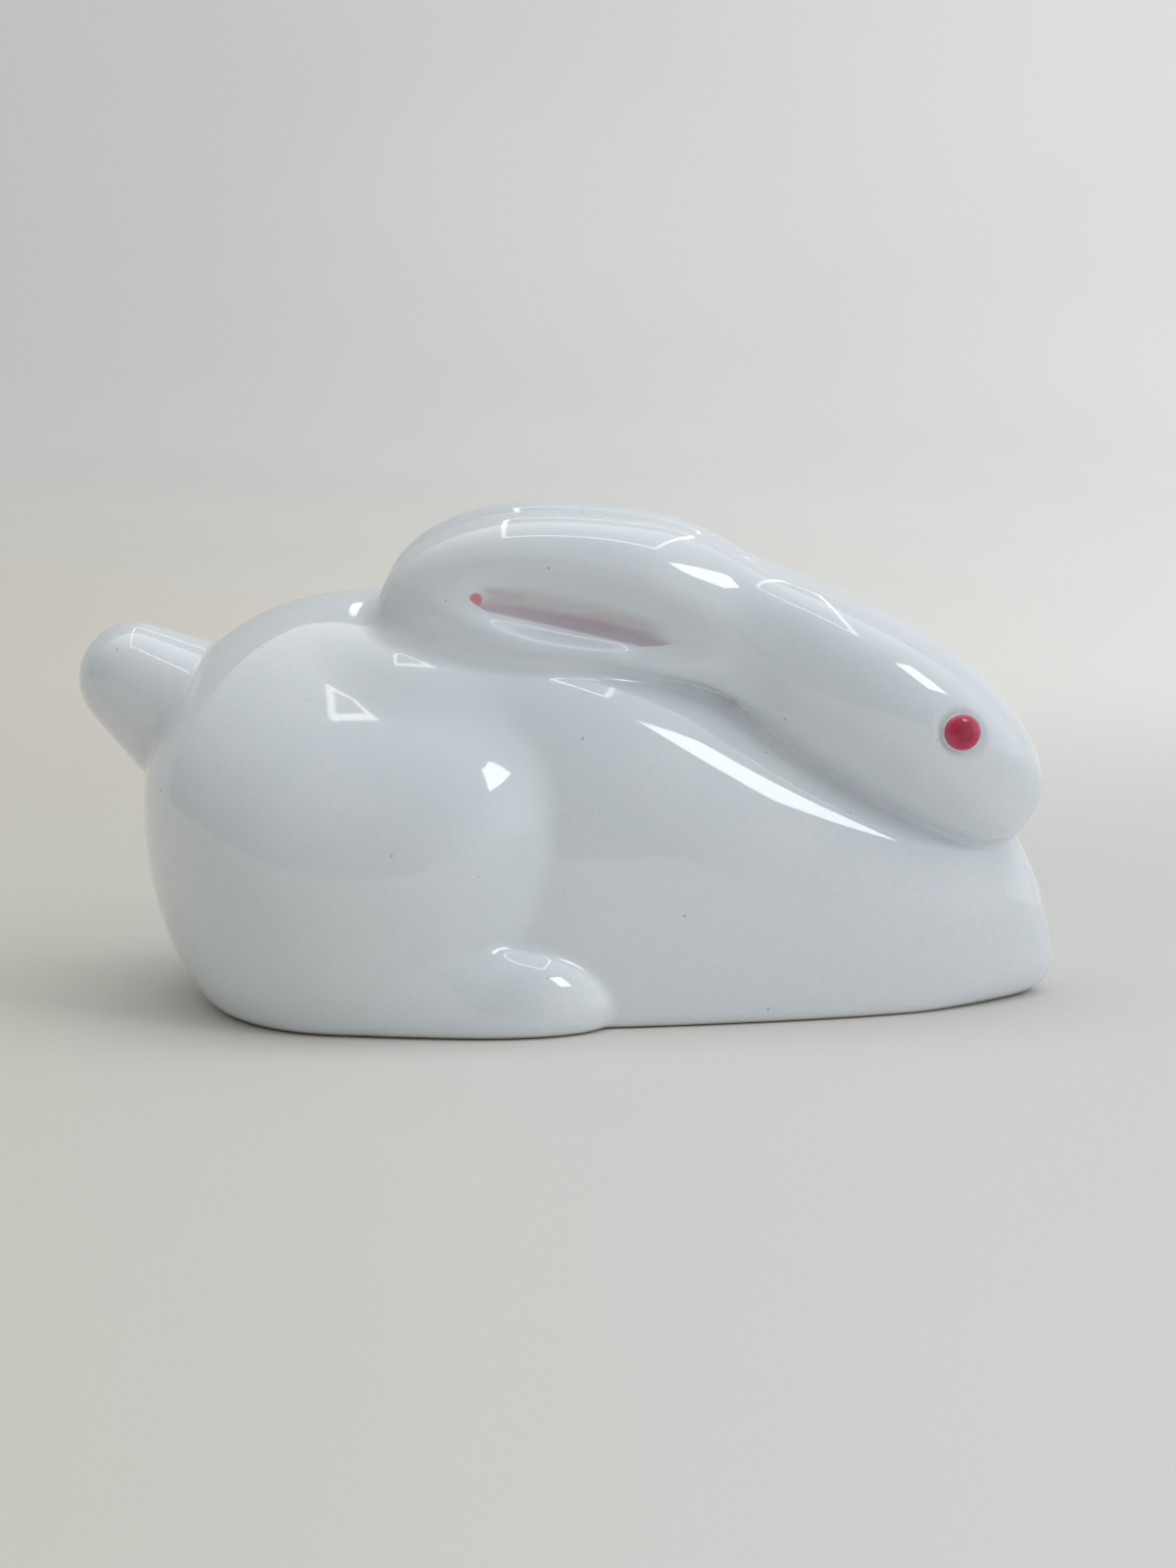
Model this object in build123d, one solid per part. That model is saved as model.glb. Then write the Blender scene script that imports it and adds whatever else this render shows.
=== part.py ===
from build123d import *
import math
import os

# A crouching rabbit figurine, slip cast in white glazed ceramic.
# Frame: +X towards the nose, +Y to the rabbit's left, +Z up, origin on the table at mid-length.
# Each hollow casting is a loft of superellipse sections whose half-sizes follow one curve, or law.
# A piece is trimmed by the larger casting that it is luted to, so the two meet face to face.

# Whole figure
LENGTH = 180.0            # tip of the tail to the forepaws
WALL = 4.5                # thickness of the cast walls
SECTION_POINTS = 20       # points of the closed spline that draws one section

# Unglazed foot under the castings
RIM_WIDTH = 6.5           # flat rim that touches the table
BASE_RECESS = 1.5         # hollow of the base inside the rim
CUT_DEPTH = 120.0         # depth of the trimming blocks

# Hindquarters: rump, back and haunches in one near-round casting
HIND_LENGTH = 83.8
HIND_WIDTH = 86.0
HIND_HEIGHT = 75.3
HIND_WIDEST = 35.0        # height of the widest level
HIND_OVERHANG = 11.9      # the tail reaches this far behind the rump
HIND_TUCK = 48.5          # depth at which the rear would close under the widest level
HIND_SIDE_TUCK = 66.0     # the same for the two sides
HIND_PLAN = 2.25          # exponent of its plan
HIND_PROFILE = 2.12       # exponent of its side view

# Forequarters: flanks, chest and forepaws in one wedge
FORE_ROOT = 10.0          # the wedge starts this far in front of the hind middle
FORE_WIDTH = 63.0
FORE_DIP = 1.3            # its top starts this far below the top of the back
FORE_PLAN = 1.8
FORE_PROFILE = 2.2
FORE_SECTION = 2.8

# Head: an egg that points down to the nose
HEAD_SETBACK = 33.7       # middle of the egg behind the forepaws
HEAD_SINK = 20.2          # and below the top of the forequarters
HEAD_TILT = 30.5          # degrees
HEAD_FRONT = 36.0
HEAD_REAR = 34.0
HEAD_RISE = 17.2          # middle to forehead
HEAD_FALL = 15.8          # middle to throat
HEAD_WIDTH = 48.0
HEAD_DROOP = 2.5          # how far the nose hangs below the axis
HEAD_NOSE = 2.2           # exponent of the front half
HEAD_NAPE = 2.0           # exponent of the rear half
HEAD_SECTION = 2.7

# Ears, laid back along the body side by side
EAR_REACH = 59.5          # fattest station of the ear behind the middle of the head
EAR_TIP = 31.5
EAR_ROOT = 62.0
EAR_ROOT_WIDE = 52.0      # the width closes over this length
EAR_BURY = 44.0           # the ear runs this far towards the head before it is trimmed
EAR_SPREAD = 21.0         # between the two ear middles at the fattest station
EAR_SPLAY = 0.04          # sideways slope of the ear towards its tip
EAR_THICK = 24.6
EAR_DEEP = 40.0
EAR_SINK = 5.3            # middle of the ear below the top of the back
EAR_SAG = 0.0052          # per millimetre, fall of the ear towards the head
EAR_END = 2.2
EAR_SECTION = 2.45

# Flute of each ear and the pink enamel in it
FLUTE_FORWARD = 5.3       # middle of the flute in front of the fattest station
FLUTE_UP = 2.6            # and above the middle of the ear
FLUTE_LENGTH = 48.0
FLUTE_WIDTH = 12.6
FLUTE_DEPTH = 4.6
FLUTE_SLOPE = 11.7        # degrees, down towards the head
STRIPE_LENGTH = 37.8
STRIPE_WIDTH = 6.4
ENAMEL = 0.35             # thickness of the fired enamel

# Tail, a rounded cone
TAIL_ROUND = 10.4         # radius of its end
TAIL_SINK = 16.2          # centre of that end below the top of the back
TAIL_TILT = 33.0
TAIL_FLARE = 16.7         # half angle of the cone
TAIL_BURY = 24.0          # length of the cone before it is trimmed by the rump

# Hind feet
HINDFOOT_LENGTH = 46.0
HINDFOOT_WIDTH = 24.0
HINDFOOT_HEIGHT = 14.0
HINDFOOT_LIFT = 3.0       # height of the widest level
HINDFOOT_FORWARD = 22.0   # middle of the foot in front of the hind middle
HINDFOOT_INSET = 15.0     # middle of the foot in from the side of the haunch

# Eyes: a dished socket, a domed bead and a red enamel cap
EYE_FORWARD = 13.8        # along the axis of the head
EYE_UP = 5.9              # square to that axis
SOCKET_DIAMETER = 9.4
SOCKET_DEPTH = 0.8
BEAD_DIAMETER = 7.6
BEAD_RISE = 1.2           # top of the bead above the cheek
BEAD_DOME = 2.0           # height of the domed part
PUPIL_DIAMETER = 6.5

# Openings of the castings
POUR_HOLE = 16.0          # in the base, where the slip is poured out
AIR_HOLE = 8.0            # between the hollow castings, so that they dry and fire safely

# Places that follow from the sizes above
HIND_X = -LENGTH / 2 + HIND_OVERHANG + HIND_LENGTH / 2
FORE_X = HIND_X + FORE_ROOT
FORE_TIP = LENGTH / 2
HEAD_X = LENGTH / 2 - HEAD_SETBACK
EAR_X = HEAD_X - EAR_REACH
FORE_HEIGHT = HIND_HEIGHT - FORE_DIP
HEAD_MIDDLE = FORE_HEIGHT - HEAD_SINK
EAR_MIDDLE = HIND_HEIGHT - EAR_SINK
TAIL_MIDDLE = HIND_HEIGHT - TAIL_SINK
SIDES = {"left": 1, "right": -1}


def law(share, exponent):
    """Height of a superellipse of that exponent at a share of its half-length."""
    return max(0.0, 1 - abs(share) ** exponent) ** (1 / exponent)


def section(plane, half_width, half_rise, half_fall, exponent):
    """Closed superellipse on a plane, with its own half-size above and below the middle."""
    points = []
    for step in range(SECTION_POINTS):
        angle = 2 * math.pi * step / SECTION_POINTS - math.pi / 2
        across = math.cos(angle)
        up = math.sin(angle)
        reach = (abs(across) ** exponent + abs(up) ** exponent) ** (-1 / exponent)
        half_height = half_rise if up > 0 else half_fall
        local = Vector(half_width * reach * across, half_height * reach * up)
        points.append(plane.from_local_coords(local))
    return Wire([Edge.make_spline(points, periodic=True)])


def half_section(plane, half_width, half_rise, half_fall, exponent):
    """Left half of such a section, closed by a chord down the middle of the object."""
    points = []
    for step in range(SECTION_POINTS // 2 + 1):
        angle = 2 * math.pi * step / SECTION_POINTS - math.pi / 2
        across = math.cos(angle)
        up = math.sin(angle)
        reach = (abs(across) ** exponent + abs(up) ** exponent) ** (-1 / exponent)
        half_height = half_rise if up > 0 else half_fall
        points.append(plane.from_local_coords(Vector(half_width * reach * across, half_height * reach * up)))
    curve = Edge.make_spline(points, tangents=[plane.x_dir, -plane.x_dir])
    return Wire([curve, Edge.make_line(points[-1], points[0])])


def below(height):
    """Block that trims everything under a height."""
    return Pos(0, 0, height - CUT_DEPTH / 2) * Box(3 * LENGTH, 3 * LENGTH, CUT_DEPTH)


def above(height):
    """Block that trims everything over a height."""
    return Pos(0, 0, height + CUT_DEPTH / 2) * Box(3 * LENGTH, 3 * LENGTH, CUT_DEPTH)


def hind_form(inset=0.0):
    """Rump and haunches: level sections stacked from under the table to the top of the back."""
    rise = HIND_HEIGHT - HIND_WIDEST
    levels = [HIND_WIDEST * share for share in (-0.12, 0.2, 0.45, 0.7, 1.0)]
    for degrees in (22, 42, 60, 74, 84):
        levels.append(HIND_WIDEST + (rise - inset) * math.sin(math.radians(degrees)) ** (2 / HIND_PROFILE))
    wires = []
    for level in levels:
        gap = level - HIND_WIDEST
        along = gap / (rise - inset) if gap > 0 else gap / HIND_TUCK
        aside = gap / (rise - inset) if gap > 0 else gap / HIND_SIDE_TUCK
        half_length = (HIND_LENGTH / 2 - inset) * law(along, HIND_PROFILE)
        half_width = (HIND_WIDTH / 2 - inset) * law(aside, HIND_PROFILE)
        plane = Plane(origin=(HIND_X, 0, level))
        wires.append(section(plane, half_length, half_width, half_width, HIND_PLAN))
    top = Vertex(HIND_X, 0, HIND_HEIGHT - inset)
    return Solid.make_loft(wires + [top]) - below(0)


def fore_form(inset=0.0):
    """Flanks, chest and forepaws: upright sections that shrink towards the paws."""
    tip = FORE_TIP - inset
    wires = []
    for degrees in (0, 14, 27, 39, 51, 62, 72, 80, 86):
        share = math.sin(math.radians(degrees))
        half_width = (FORE_WIDTH / 2 - inset) * law(share, FORE_PLAN)
        height = (FORE_HEIGHT - inset) * law(share, FORE_PROFILE)
        plane = Plane(origin=(FORE_X + share * (tip - FORE_X), 0, 0), x_dir=(0, 1, 0), z_dir=(1, 0, 0))
        wires.append(section(plane, half_width, height, height, FORE_SECTION))
    return Solid.make_loft(wires + [Vertex(tip, 0, 0)]) - below(0)


def head_plane(forward=0.0, up=0.0):
    """Plane square to the axis of the head, its y axis towards the forehead."""
    tilt = math.radians(HEAD_TILT)
    axis = Vector(math.cos(tilt), 0, -math.sin(tilt))
    rise = Vector(math.sin(tilt), 0, math.cos(tilt))
    origin = Vector(HEAD_X, 0, HEAD_MIDDLE) + axis * forward + rise * up
    return Plane(origin=origin, x_dir=(0, 1, 0), z_dir=axis)


def head_form(inset=0.0):
    """Egg of the head: sections square to its axis, from the nape to the nose."""
    wires = []
    for degrees in (-76, -58, -40, -22, -6, 10, 26, 42, 56, 68, 78, 85):
        share = math.sin(math.radians(degrees))
        reach = (HEAD_FRONT if share > 0 else HEAD_REAR) - inset
        size = law(share, HEAD_NOSE if share > 0 else HEAD_NAPE)
        droop = -HEAD_DROOP * share ** 2 if share > 0 else 0.0
        wires.append(half_section(
            head_plane(reach * share, droop),
            (HEAD_WIDTH / 2 - inset) * size,
            (HEAD_RISE - inset) * size,
            (HEAD_FALL - inset) * size,
            HEAD_SECTION))
    nape = Vertex(head_plane(-(HEAD_REAR - inset)).origin)
    nose = Vertex(head_plane(HEAD_FRONT - inset, -HEAD_DROOP).origin)
    half = Solid.make_loft([nape] + wires + [nose])
    return half + mirror(half, about=Plane.XZ)


def ear_station(forward):
    """Middle, half-width and half-depth of the ear at a distance in front of its fattest station."""
    spread = EAR_SPREAD / 2 - EAR_SPLAY * forward
    if forward < 0:
        size = law(forward / EAR_TIP, EAR_END)
        return spread, EAR_MIDDLE, EAR_THICK / 2 * size, EAR_DEEP / 2 * size
    sag = EAR_SAG * forward ** 2
    half_width = EAR_THICK / 2 * law(forward / EAR_ROOT_WIDE, 2)
    return spread, EAR_MIDDLE - sag, half_width, EAR_DEEP / 2 * law(forward / EAR_ROOT, 2)


def ear_form(side):
    """Long ear: upright sections from its round tip to inside the head, on its own side of the middle."""
    stations = [-EAR_TIP * math.sin(math.radians(degrees)) for degrees in (84, 74, 60, 44, 26, 8)]
    stations += [EAR_BURY * share for share in (0.15, 0.4, 0.7, 1.0)]
    wires = []
    for forward in stations:
        spread, middle, half_width, half_depth = ear_station(forward)
        plane = Plane(origin=(EAR_X + forward, side * spread, middle), x_dir=(0, 1, 0), z_dir=(1, 0, 0))
        wires.append(section(plane, half_width, half_depth, half_depth, EAR_SECTION))
    spread, middle = ear_station(-EAR_TIP)[:2]
    tip = Vertex(EAR_X - EAR_TIP, side * spread, middle)
    other_side = Pos(0, -side * LENGTH, 0) * Box(3 * LENGTH, 2 * LENGTH, 3 * LENGTH)
    return Solid.make_loft([tip] + wires) - other_side


def flute(side, length, width, depth):
    """Long lens on the outer face of an ear, as wide and deep as asked."""
    spread, middle, half_width, half_depth = ear_station(FLUTE_FORWARD)
    height = middle + FLUTE_UP
    outer = spread + half_width * law((height - middle) / half_depth, EAR_SECTION)
    lens = scale(Sphere(1), by=(length / 2, depth, width / 2))
    return Pos(EAR_X + FLUTE_FORWARD, side * outer, height) * Rot(0, FLUTE_SLOPE, 0) * lens


def stripe(side):
    """Lens a coat of enamel deeper than the flute, that meets it along the border of the stripe."""
    depth = FLUTE_DEPTH + ENAMEL
    shallow = (FLUTE_DEPTH / depth) ** 2
    length = STRIPE_LENGTH / math.sqrt(1 - shallow * (1 - (STRIPE_LENGTH / FLUTE_LENGTH) ** 2))
    width = STRIPE_WIDTH / math.sqrt(1 - shallow * (1 - (STRIPE_WIDTH / FLUTE_WIDTH) ** 2))
    return flute(side, length, width, depth)


def tail_form():
    """Rounded cone turned about its own axis, pointing back and up."""
    flare = math.radians(TAIL_FLARE)
    touch = (TAIL_ROUND * math.cos(flare), TAIL_ROUND * math.sin(flare))
    root = touch[0] + (touch[1] + TAIL_BURY) * math.tan(flare)
    bend = (math.pi / 2 + flare) / 2
    outline = Curve() + [
        Line((0, -TAIL_BURY), (root, -TAIL_BURY)),
        Line((root, -TAIL_BURY), touch),
        ThreePointArc(touch, (TAIL_ROUND * math.cos(bend), TAIL_ROUND * math.sin(bend)), (0, TAIL_ROUND)),
        Line((0, TAIL_ROUND), (0, -TAIL_BURY)),
    ]
    turned = revolve(Plane.XZ * make_face(outline), Axis.Z)
    tilt = math.radians(TAIL_TILT)
    seat = Plane(
        origin=(-LENGTH / 2 + TAIL_ROUND, 0, TAIL_MIDDLE),
        x_dir=(0, 1, 0),
        z_dir=(-math.cos(tilt), 0, math.sin(tilt)))
    return seat.location * turned


def hind_foot_form(side):
    """Toe end of a hind foot, a long egg half under the haunch."""
    egg = Rot(0, 0, 180) * Sphere(1)
    lobe = scale(egg, by=(HINDFOOT_LENGTH / 2, HINDFOOT_WIDTH / 2, HINDFOOT_HEIGHT))
    place = Pos(HIND_X + HINDFOOT_FORWARD, side * (HIND_WIDTH / 2 - HINDFOOT_INSET), HINDFOOT_LIFT)
    return place * lobe - below(0)


def eye_plane(side, head):
    """Plane on the cheek, facing out, where the eye sits."""
    start = head_plane(EYE_FORWARD, EYE_UP).origin
    look = Axis(start, (0, side, 0))
    hits = [hit for hit in head.find_intersection_points(look) if (hit[0] - start).Y * side > 0]
    point, normal = hits[-1]
    if normal.Y * side < 0:
        normal = -normal
    return Plane(origin=point, x_dir=(1, 0, 0), z_dir=normal)


def cap_radius(diameter, height):
    """Radius of the ball whose cap has that diameter and height."""
    return ((diameter / 2) ** 2 + height ** 2) / (2 * height)


def eye_socket(seat):
    """Ball that dishes the cheek round the eye."""
    radius = cap_radius(SOCKET_DIAMETER, SOCKET_DEPTH)
    return seat.location * Pos(0, 0, radius - SOCKET_DEPTH) * Sphere(radius)


def eye_bead(seat, coat=0.0):
    """Domed bead of the eye on a short stem, with an even coat over its dome."""
    radius = cap_radius(BEAD_DIAMETER, BEAD_DOME) + coat
    dome = Pos(0, 0, BEAD_RISE + coat - radius) * Sphere(radius)
    stem = Cylinder(BEAD_DIAMETER / 2, 2 * BEAD_DIAMETER)
    return seat.location * (dome & stem)


def base_recess(form):
    """Shallow hollow of the base inside the rim of one casting."""
    return form(RIM_WIDTH) - above(BASE_RECESS)


def dished_head(seats):
    """Egg of the head with both eye sockets."""
    head = head_form()
    for seat in seats.values():
        head -= eye_socket(seat)
    return head


def build():
    egg = head_form()
    seats = {name: eye_plane(side, egg) for name, side in SIDES.items()}
    floor = below(BASE_RECESS + WALL)
    hole_depth = 4 * (BASE_RECESS + WALL)
    pour_hole = Pos(HIND_X, 0, 0) * Cylinder(POUR_HOLE / 2, hole_depth)
    chest = Pos(HIND_X + HIND_LENGTH / 2, 0, HIND_WIDEST)
    front_port = chest * Rot(0, 90, 0) * Cylinder(AIR_HOLE / 2, 6 * WALL)
    roof_port = head_plane().location * Rot(90, 0, 0) * Cylinder(AIR_HOLE / 2, 2 * HEAD_FALL)

    pieces = {}
    pieces["head"] = dished_head(seats) - fore_form() - hind_form() - head_form(WALL)
    hind = hind_form() - (hind_form(WALL) - floor)
    pieces["hindquarters"] = hind - base_recess(hind_form) - pour_hole - front_port
    fore = fore_form() - hind_form() - (fore_form(WALL) - floor)
    pieces["forequarters"] = fore - base_recess(fore_form) - roof_port
    pieces["tail"] = tail_form() - hind_form()
    for name, side in SIDES.items():
        seat = seats[name]
        bead = eye_bead(seat)
        pupil = seat.location * Cylinder(PUPIL_DIAMETER / 2, 2 * BEAD_DIAMETER)
        pieces[name + "_eye"] = bead - dished_head(seats)
        pieces[name + "_eye_enamel"] = (eye_bead(seat, ENAMEL) & pupil) - bead - dished_head(seats)
        ear = ear_form(side) - hind_form() - fore_form() - dished_head(seats)
        ear -= flute(side, FLUTE_LENGTH, FLUTE_WIDTH, FLUTE_DEPTH)
        pieces[name + "_ear"] = ear - stripe(side)
        pieces[name + "_ear_enamel"] = ear & stripe(side)
        pieces[name + "_hind_foot"] = hind_foot_form(side) - hind_form() - fore_form()
    return pieces


os.makedirs("parts", exist_ok=True)
for node, piece in build().items():
    export_step(piece, "parts/" + node + ".step")
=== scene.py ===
"""A crouching ceramic rabbit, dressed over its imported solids.

The figurine is one smooth skin of glaze over luted castings. One field in millimetres gives that skin:
each casting has its own form, and forms that meet are joined by a fillet as wide as the glaze in their
crease. Every piece is the part of the skin that lies on its own casting, found along rays.
"""
import math

import bpy
import numpy as np
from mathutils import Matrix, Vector


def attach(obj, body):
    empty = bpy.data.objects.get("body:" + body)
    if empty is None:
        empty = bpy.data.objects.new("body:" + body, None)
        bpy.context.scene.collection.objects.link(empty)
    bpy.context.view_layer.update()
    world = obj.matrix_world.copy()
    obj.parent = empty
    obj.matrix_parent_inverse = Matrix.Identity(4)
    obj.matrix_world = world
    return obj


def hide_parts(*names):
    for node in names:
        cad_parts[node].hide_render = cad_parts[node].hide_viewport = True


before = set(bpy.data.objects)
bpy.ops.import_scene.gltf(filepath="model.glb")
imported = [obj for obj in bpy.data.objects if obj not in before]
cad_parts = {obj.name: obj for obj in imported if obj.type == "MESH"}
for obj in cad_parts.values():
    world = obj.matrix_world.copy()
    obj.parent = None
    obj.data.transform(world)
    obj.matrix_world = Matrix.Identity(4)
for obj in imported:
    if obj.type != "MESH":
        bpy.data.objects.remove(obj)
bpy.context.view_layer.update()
FINE = 1.0  # share of the full grid that the pieces get


def unit(way):
    """Direction of length 1."""
    return np.array(way) / np.linalg.norm(way)


# Sizes in millimetres, close to those in the part's source: the nose points along x, the left side along y
SIDES = {"left": 1, "right": -1}

# Rump
HIND_X, HIND_HALF, HIND_WIDE = -36.2, 41.9, 43.0  # its middle, half-length and half-width
HIND_TOP, HIND_LEVEL = 75.3, 35.0                 # height of the back and of the widest section
HIND_CLOSE_LONG, HIND_CLOSE_WIDE = 48.5, 66.0     # depths under that at which length and width would close
HIND_LAW = 2.12
HIND_PLAN, HIND_SQUARER = 2.2, 0.35               # exponent of its plan, and how much that gains upwards
HIND_LEAN, LEAN_FROM, LEAN_RISE = 0.25, 24.0, 30.0

# Wedge of chest and flanks
FORE_X, FORE_TIP, FORE_WIDE, FORE_TOP = -26.2, 91.0, 33.2, 74.0
FORE_BACK = 30.0                                  # reach back into the rump
FORE_NARROW, FORE_BLUNT = 0.24, 0.14

# Rounded shoulder of the wedge, on its right side
RIDGE_ROUND, RIDGE_TURN = 36.0, math.radians(42.0)
RIDGE_RUN = unit([52.0, 7.0, -26.0])
FLANK_OUT = np.array([0.158, -0.984, 0.08])
RIDGE_OUT = unit(FLANK_OUT - RIDGE_RUN * (FLANK_OUT @ RIDGE_RUN))
RIDGE_UP = np.cross(RIDGE_OUT, RIDGE_RUN)
RIDGE_CREST, RIDGE_FACING = np.array([39.3, -22.0, 38.9]), np.array([0.352, -0.800, 0.487])
RIDGE_AT = RIDGE_CREST - RIDGE_ROUND * RIDGE_FACING
RIDGE_TIP = 6.0                                   # how far it swells over the chest's tip

# Head
HEAD_AT, HEAD_TILT = np.array([56.3, 0.0, 53.8]), math.radians(30.5)
HEAD_WIDE, HEAD_HIGH, HEAD_LOW = 22.6, 17.2, 15.8  # half-width, and heights over and under its axis
HEAD_FORE, HEAD_BACK, HEAD_DROOP = 36.0, 34.0, 2.5

# Ears
EAR_X, EAR_Z, EAR_WIDE, EAR_DEEP, EAR_UNDER = -3.2, 70.0, 12.3, 20.9, 7.2
EAR_ASIDE, EAR_CLOSING = 10.5, 0.04               # distance from the middle, less per millimetre forward
EAR_SAG, EAR_SAG_END = 0.0056, 24.0               # bend of the axis, which runs straight past its end
EAR_CREST, EAR_CREST_AT, EAR_CREST_LONG = 0.15, 33.0, 13.0
EAR_THIN, EAR_TAPER, TAPER_FROM, TAPER_EASE, TAPER_LEAST = 0.002, 0.0135, 19.0, 6.0, 0.35
EAR_LONG, EAR_TIP = 60.0, 31.5
NECK_X, NECK_FADE = 44.0, 45.0                    # where an ear starts to fade into the head, and how slowly

# Flute of an ear and the valley that runs out of it
FLUTE_AT, FLUTE_SLOPE, FLUTE_LEAN = np.array([2.1, 22.55, 74.2]), math.radians(11.7), math.radians(20.0)
FLUTE_LONG, FLUTE_DEEP, FLUTE_HIGH, FLUTE_TOE = 24.0, 4.6, 6.2, 0.06
VALLEY, VALLEY_ROUND = ((16, 26.9, 69.5), (27, 26.2, 64.5), (32.5, 26.0, 57.5)), 6.0

# Tail, hind feet and eyes
TAIL_AT, TAIL_TILT, TAIL_BALL = np.array([-79.6, 0.0, 59.1]), math.radians(33.0), 10.4
TAIL_FLARE, TAIL_LONG = math.radians(16.7), 24.0
FOOT_AT, FOOT_HALF = np.array([-14.2, 28.0, 3.0]), np.array([23.0, 12.0, 14.0])
EYE_AT, EYE_OUT = np.array([71.0, 20.55, 52.2]), unit([0.318, 0.939, 0.131])
EYE_HIGH = 0.91                                   # height of an eye to its length
SOCKET_BALL, SOCKET_LIFT, SOCKET_RIM = 14.0, 12.7, 4.7

# Widths of the fillets in the creases and of the rounding on the edges
EAR_TO_EAR, EAR_TO_HEAD, TAIL_TO_RUMP = 1.8, 9.0, 1.0
CROWN_TO_BODY, CROWN_TO_CHEST = 3.0, 1.3
SHOULDER_EDGE, FLUTE_EDGE, VALLEY_EDGE, SOCKET_EDGE = 5.0, 3.6, 5.0, 0.5
BASE_EDGE, CHEST_EDGE = 2.4, 6.0
RECESS = 1.5                                      # depth of the hollow in the base

# How far the trunk sinks in by the ears, and within what distance
FORE_SINK, HIND_SINK, SINK_NEAR = 0.6, 0.9, 5.0

# How steeply a piece sinks under its neighbours, how far it may reach past its casting, and a far distance
SINKING, OVERLAP, FAR = 0.35, 4.0, 1e3


def law(share, exponent):
    """Height of a superellipse at a share of its half-length."""
    return np.maximum(1e-9, 1 - np.abs(share) ** exponent) ** (1 / exponent)


def norm(a, b, exponent):
    """Superellipse radius of a point with those two coordinates."""
    return (np.abs(a) ** exponent + np.abs(b) ** exponent) ** (1 / exponent)


def ramp(value, low, high):
    """Smooth step from 0 at low to 1 at high."""
    t = np.clip((value - low) / (high - low), 0, 1)
    return t * t * (3 - 2 * t)


def tilted(q, angle):
    """Coordinates forward and up along axes in the middle plane that point down to the nose by an angle."""
    forward = q[..., 0] * math.cos(angle) - q[..., 2] * math.sin(angle)
    up = q[..., 0] * math.sin(angle) + q[..., 2] * math.cos(angle)
    return forward, up


def hind_form(p):
    """Rump: superellipse in plan, its half-sizes superelliptic up to the top and closing slower downwards.

    Its width shrinks with the square of the height over a level, so the haunches lean in.
    """
    z = p[..., 2]
    low = np.maximum(HIND_LEVEL - z, 0)
    high = np.maximum(z - HIND_LEVEL, 0) / (HIND_TOP - HIND_LEVEL)
    along = (p[..., 0] - HIND_X) / HIND_HALF / law(np.minimum(low / HIND_CLOSE_LONG, 0.95), HIND_LAW)
    aside = p[..., 1] / HIND_WIDE / law(np.minimum(low / HIND_CLOSE_WIDE, 0.95), HIND_LAW)
    lean = 1 + HIND_LEAN * (np.maximum(z - LEAN_FROM, 0) / LEAN_RISE) ** 2
    plan = norm(along, aside * lean, HIND_PLAN + HIND_SQUARER * ramp(z, 25, 52))
    return norm(plan, high, HIND_LAW)


def fore_form(p):
    """Wedge: upright superellipse sections that shrink to the paws, quicker in width than in height."""
    ahead = p[..., 0] - FORE_X
    share = np.where(ahead > 0, ahead / (FORE_TIP - FORE_X), ahead / -FORE_BACK)
    near_tip = np.clip(ahead / (FORE_TIP - FORE_X), 0, 1.1)
    narrow = 1 + FORE_NARROW * near_tip ** 2 + FORE_BLUNT * near_tip ** 8
    return norm(norm(p[..., 1] / FORE_WIDE * narrow, p[..., 2] / FORE_TOP, 2.8), share, 2.2)


def ridge_distance(p):
    """Distance to the wedge's shoulder: on each side a flat flank rounds over into a flat slope above."""
    q = p * [1, 0, 1] - np.abs(p * [0, 1, 0]) - RIDGE_AT
    out = q @ RIDGE_OUT
    up = q @ RIDGE_UP
    turn = np.clip(np.arctan2(up, np.maximum(out, 1e-3)), 0, RIDGE_TURN)
    return out * np.cos(turn) + up * np.sin(turn) - RIDGE_ROUND - RIDGE_TIP * ramp(p[..., 0], 76, 92)


def head_form(p):
    """Egg: superellipse sections square to an axis that points down to the nose, which hangs a little."""
    q = p - HEAD_AT
    forward, up = tilted(q, HEAD_TILT)
    share = np.where(forward > 0, forward / HEAD_FORE, forward / HEAD_BACK)
    up = up + np.where(forward > 0, HEAD_DROOP * share ** 2, 0)
    over = up / HEAD_HIGH
    under = up / HEAD_LOW
    upper = norm(q[..., 1] / HEAD_WIDE * (1 + 0.2 * over ** 2), over, 3.6)
    lower = norm(q[..., 1] / HEAD_WIDE * (1 + 0.3 * under ** 2), under, 2.8)
    across = np.where(up > 0, upper, lower)
    return np.where(forward > 0, norm(across, share, 2.2), norm(across, share, 2.0))


def ear_form(p, side):
    """Ear: upright superellipse sections, round at the tip, sinking and thinning towards the head.

    Its axis sinks with the square of the way forward and then straight on. The crest swells along its inner
    side by a bell curve, and the taper turns from none to a straight one along a hyperbola.
    """
    forward = p[..., 0] - EAR_X
    ahead = np.maximum(forward, 0)
    aside = (side * p[..., 1] - EAR_ASIDE + EAR_CLOSING * forward) / EAR_WIDE
    bent = np.minimum(ahead, EAR_SAG_END)
    up = p[..., 2] - EAR_Z + EAR_SAG * bent * (2 * ahead - bent)
    bell = np.exp(-((ahead - EAR_CREST_AT) / EAR_CREST_LONG) ** 2)
    crest = 1 + EAR_CREST * bell * (1 - ramp(aside, 0.1, 0.8))
    up = np.where(up > 0, up / EAR_DEEP / crest, up / EAR_UNDER * (1 + EAR_THIN * ahead))
    past = ahead - TAPER_FROM
    taper = np.maximum(1.006 - EAR_TAPER * (past + np.sqrt(past ** 2 + TAPER_EASE ** 2)) / 2, TAPER_LEAST)
    across = norm(aside, up, 2.45)
    shaft = norm(across / taper, ahead / EAR_LONG, 8)
    return np.where(forward > 0, shaft, norm(across, forward / EAR_TIP, 2.2))


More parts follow.
